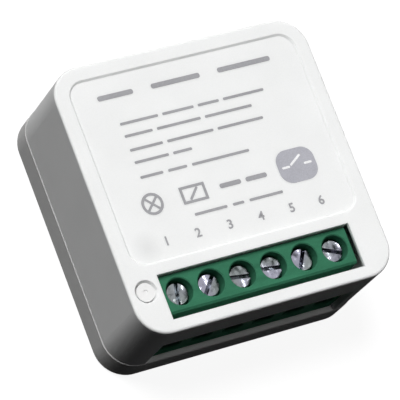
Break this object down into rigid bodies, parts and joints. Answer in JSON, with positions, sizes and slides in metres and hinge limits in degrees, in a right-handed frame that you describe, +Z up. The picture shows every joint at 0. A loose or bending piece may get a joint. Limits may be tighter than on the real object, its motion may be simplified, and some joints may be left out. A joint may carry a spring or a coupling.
{
  "type": "smart switch",
  "caption": "Square white switch module with a green screw terminal block, a small push button and a relay inside.",
  "frame": {"origin": "middle of the base's underside", "axes": "+Z up through the label panel, -Y towards the side where the wires go in, +X to the right along the terminals"},
  "size_m": [0.041, 0.0408, 0.0192],
  "materials": {
    "cover_white": "fine spark-eroded satin, moulded",
    "base_white": "fine spark-eroded satin, moulded",
    "button_white": "satin, moulded",
    "block_green": "satin glass-filled nylon",
    "board_green": "solder mask",
    "relay_black": "moulded, slight sheen",
    "relay_base_black": "moulded",
    "bobbin_white": "moulded",
    "copper_winding": "enamelled copper wire",
    "relay_iron": "zinc-plated soft iron",
    "contact_copper": "bright copper alloy",
    "tinned_pin": "tinned",
    "tact_black": "moulded",
    "plunger_white": "moulded",
    "dome_steel": "sprung steel",
    "radio_board_blue": "solder mask",
    "shield_steel": "tinned steel",
    "chip_black": "moulded epoxy",
    "antenna_gold": "gold-plated copper",
    "coupler_white": "moulded epoxy",
    "resistor_black": "fired ceramic and glass",
    "capacitor_sleeve": "shrunk sleeve",
    "ferrite_black": "sintered ferrite",
    "fuse_green": "dipped cement coat",
    "varistor_blue": "dipped epoxy",
    "led_clear": "clear resin",
    "screw_zinc": "bright zinc plate, turned",
    "cage_steel": "zinc-plated steel",
    "contact_brass": "tinned brass"
  },
  "bodies": {
    "case": {"top_cover": "cover_white", "base_tray": "base_white", "terminal_housing": "block_green", "circuit_board": "board_green", "relay_case": "relay_black", "relay_base": "relay_base_black", "relay_bobbin": "bobbin_white", "relay_winding": "copper_winding", "inductor_winding": "copper_winding", "relay_core": "relay_iron", "relay_yoke": "relay_iron", "relay_fixed_contact": "contact_copper", "relay_coil_pins": "tinned_pin", "radio_pins": "tinned_pin", "tact_body": "tact_black", "tact_dome": "dome_steel", "radio_board": "radio_board_blue", "radio_shield": "shield_steel", "radio_chip": "chip_black", "radio_antenna": "antenna_gold", "supply_chip": "chip_black", "bridge_rectifier": "chip_black", "regulator": "chip_black", "driver_transistor": "chip_black", "flyback_diode": "chip_black", "input_coupler": "coupler_white", "chip_resistors": "resistor_black", "bulk_capacitor": "capacitor_sleeve", "output_capacitor": "capacitor_sleeve", "inductor_core": "ferrite_black", "fusible_resistor": "fuse_green", "varistor": "varistor_blue", "status_led": "led_clear", "contact_bar_1": "contact_brass", "contact_bar_2": "contact_brass", "contact_bar_3": "contact_brass", "contact_bar_4": "contact_brass", "contact_bar_5": "contact_brass", "contact_bar_6": "contact_brass"},
    "button": {"button_cap": "button_white"},
    "plunger": {"tact_plunger": "plunger_white"},
    "armature": {"relay_armature": "relay_iron", "relay_blade": "contact_copper"},
    "screw_1": {"terminal_screw_1": "screw_zinc"},
    "cage_1": {"clamp_cage_1": "cage_steel"},
    "screw_2": {"terminal_screw_2": "screw_zinc"},
    "cage_2": {"clamp_cage_2": "cage_steel"},
    "screw_3": {"terminal_screw_3": "screw_zinc"},
    "cage_3": {"clamp_cage_3": "cage_steel"},
    "screw_4": {"terminal_screw_4": "screw_zinc"},
    "cage_4": {"clamp_cage_4": "cage_steel"},
    "screw_5": {"terminal_screw_5": "screw_zinc"},
    "cage_5": {"clamp_cage_5": "cage_steel"},
    "screw_6": {"terminal_screw_6": "screw_zinc"},
    "cage_6": {"clamp_cage_6": "cage_steel"}
  },
  "joints": [
    {"name": "button_press", "type": "slide", "parent": "case", "child": "button", "axis": [0, 0, -1], "range_m": [0, 0.0003], "stiffness_N_per_m": 800, "springref_m": -0.0008},
    {"name": "plunger_press", "type": "slide", "parent": "case", "child": "plunger", "axis": [0, 0, -1], "range_m": [0, 0.0003]},
    {"name": "armature_close", "type": "hinge", "parent": "case", "child": "armature", "pos_m": [-0.0157, 0.0124, 0.0141], "axis": [0, 1, 0], "range_deg": [0, 3.5], "stiffness_Nm_per_rad": 0.02, "springref_deg": -2.86},
    {"name": "screw_1_turn", "type": "hinge", "parent": "case", "child": "screw_1", "pos_m": [-0.0125, -0.01465, 0.01695], "axis": [0, 0, 1], "range_deg": [-1590, 0]},
    {"name": "cage_1_rise", "type": "slide", "parent": "case", "child": "cage_1", "axis": [0, 0, 1], "range_m": [0, 0.0022]},
    {"name": "screw_2_turn", "type": "hinge", "parent": "case", "child": "screw_2", "pos_m": [-0.0075, -0.01465, 0.01695], "axis": [0, 0, 1], "range_deg": [-1590, 0]},
    {"name": "cage_2_rise", "type": "slide", "parent": "case", "child": "cage_2", "axis": [0, 0, 1], "range_m": [0, 0.0022]},
    {"name": "screw_3_turn", "type": "hinge", "parent": "case", "child": "screw_3", "pos_m": [-0.0025, -0.01465, 0.01695], "axis": [0, 0, 1], "range_deg": [-1590, 0]},
    {"name": "cage_3_rise", "type": "slide", "parent": "case", "child": "cage_3", "axis": [0, 0, 1], "range_m": [0, 0.0022]},
    {"name": "screw_4_turn", "type": "hinge", "parent": "case", "child": "screw_4", "pos_m": [0.0025, -0.01465, 0.01695], "axis": [0, 0, 1], "range_deg": [-1590, 0]},
    {"name": "cage_4_rise", "type": "slide", "parent": "case", "child": "cage_4", "axis": [0, 0, 1], "range_m": [0, 0.0022]},
    {"name": "screw_5_turn", "type": "hinge", "parent": "case", "child": "screw_5", "pos_m": [0.0075, -0.01465, 0.01695], "axis": [0, 0, 1], "range_deg": [-1590, 0]},
    {"name": "cage_5_rise", "type": "slide", "parent": "case", "child": "cage_5", "axis": [0, 0, 1], "range_m": [0, 0.0022]},
    {"name": "screw_6_turn", "type": "hinge", "parent": "case", "child": "screw_6", "pos_m": [0.0125, -0.01465, 0.01695], "axis": [0, 0, 1], "range_deg": [-1590, 0]},
    {"name": "cage_6_rise", "type": "slide", "parent": "case", "child": "cage_6", "axis": [0, 0, 1], "range_m": [0, 0.0022]}
  ],
  "couplings": [
    {"joint": "plunger_press", "follows": "button_press", "ratio": 1},
    {"joint": "screw_1_turn", "follows": "cage_1_rise", "rad_per_m": -12566},
    {"joint": "screw_2_turn", "follows": "cage_2_rise", "rad_per_m": -12566},
    {"joint": "screw_3_turn", "follows": "cage_3_rise", "rad_per_m": -12566},
    {"joint": "screw_4_turn", "follows": "cage_4_rise", "rad_per_m": -12566},
    {"joint": "screw_5_turn", "follows": "cage_5_rise", "rad_per_m": -12566},
    {"joint": "screw_6_turn", "follows": "cage_6_rise", "rad_per_m": -12566}
  ]
}
